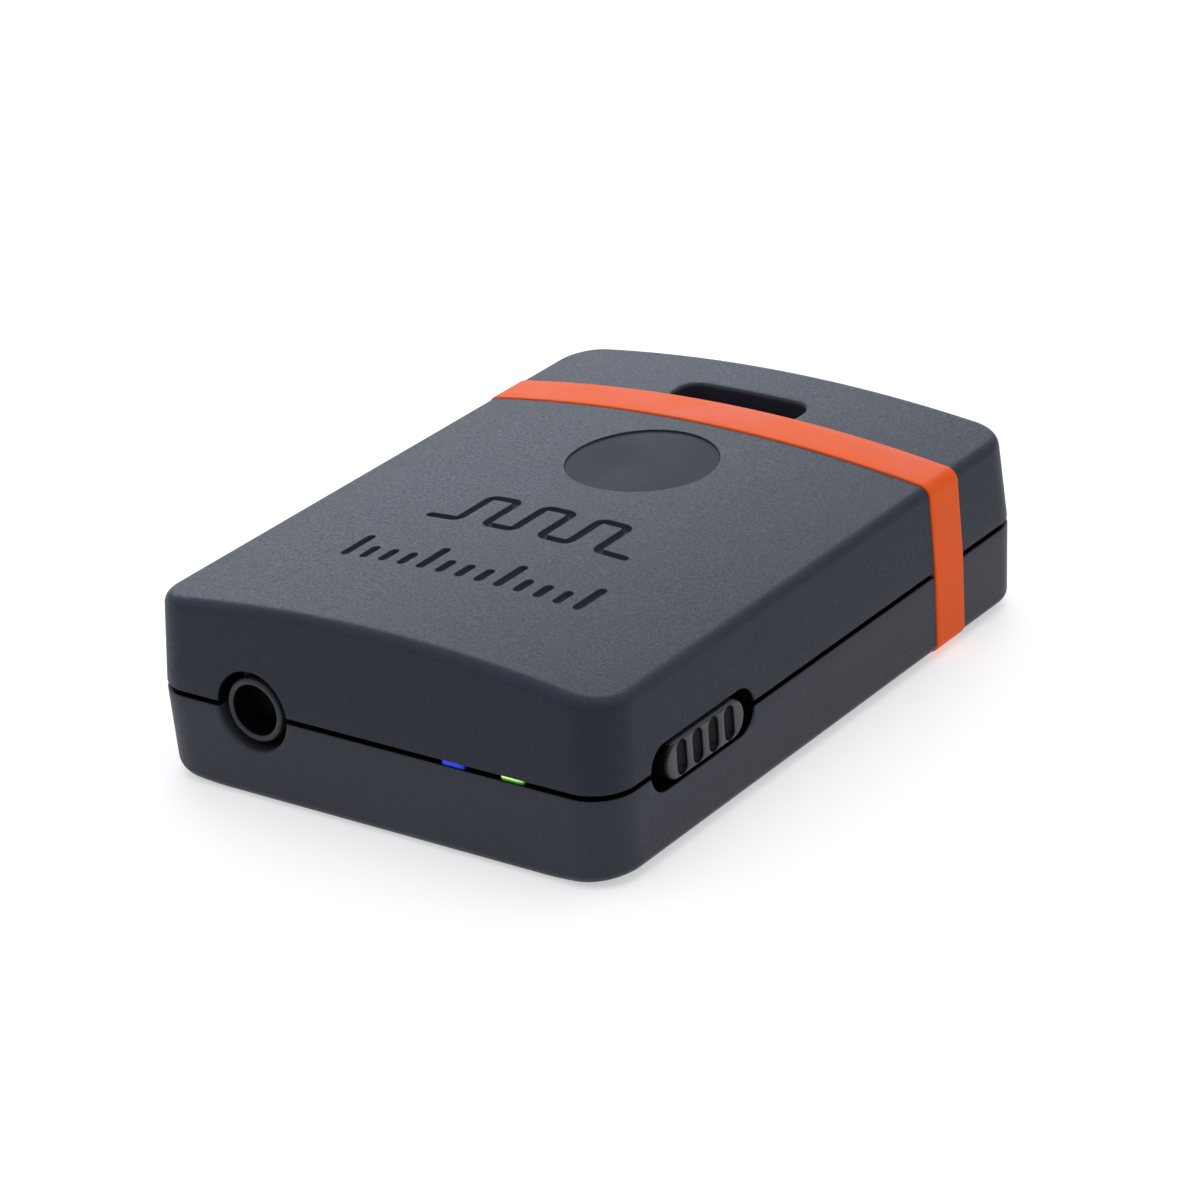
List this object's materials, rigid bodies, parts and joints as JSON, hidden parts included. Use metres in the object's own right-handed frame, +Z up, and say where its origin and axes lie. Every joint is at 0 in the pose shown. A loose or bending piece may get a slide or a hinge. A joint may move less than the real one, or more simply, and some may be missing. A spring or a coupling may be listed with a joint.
{
  "type": "pocket timecode generator",
  "caption": "Pocket sync box with an audio jack, a sprung slide switch, status lights, a lanyard slot and an elastic identity band round its moulded case.",
  "frame": {"origin": "middle of the underside, on the surface the box stands on", "axes": "-Y is the front with the audio jack, +X is the side with the slide switch, +Z is up"},
  "size_m": [0.0382, 0.051, 0.0145],
  "materials": {
    "shell_plastic": "fine spark-eroded texture",
    "band_silicone": "satin silicone",
    "knob_plastic": "satin moulded",
    "jack_plastic": "satin moulded",
    "contact_metal": "plated",
    "board": "solder mask",
    "foil": "pouch foil",
    "foam": "foam tape",
    "lead_red": "insulation",
    "lead_black": "insulation",
    "connector_white": "moulded",
    "steel": "plated sheet",
    "screw_steel": "black zinc",
    "chip_black": "epoxy",
    "ceramic_part": "sintered",
    "switch_housing": "moulded",
    "light_blue": "lit clear acrylic",
    "light_green": "lit clear acrylic",
    "led_ceramic": "moulded package"
  },
  "bodies": {
    "case": {"top_cover": "shell_plastic", "bottom_cover": "shell_plastic", "id_band": "band_silicone", "case_screws": "screw_steel", "audio_jack": "jack_plastic", "jack_sleeve_contact": "contact_metal", "jack_ring_contact": "contact_metal", "jack_tip_contact": "contact_metal", "main_pcb": "board", "switch_body": "switch_housing", "switch_spring": "steel", "switch_terminals": "contact_metal", "usb_socket": "steel", "usb_tongue": "chip_black", "battery_cell": "foil", "battery_pad": "foam", "battery_socket": "connector_white", "battery_plug": "connector_white", "battery_lead_red": "lead_red", "battery_lead_black": "lead_black", "microcontroller": "chip_black", "timebase_oscillator": "steel", "audio_codec": "chip_black", "charge_controller": "chip_black", "antenna": "ceramic_part", "capacitors": "ceramic_part", "resistors": "chip_black", "light_pipe_blue": "light_blue", "light_pipe_green": "light_green", "led_blue": "led_ceramic", "led_green": "led_ceramic"},
    "slide_switch": {"switch_knob": "knob_plastic", "switch_slider": "knob_plastic"}
  },
  "joints": [
    {"name": "switch_slide", "type": "slide", "parent": "case", "child": "slide_switch", "axis": [0, 1, 0], "range_m": [0, 0.001], "stiffness_N_per_m": 600, "springref_m": -0.001, "deforming": ["switch_spring"]}
  ]
}
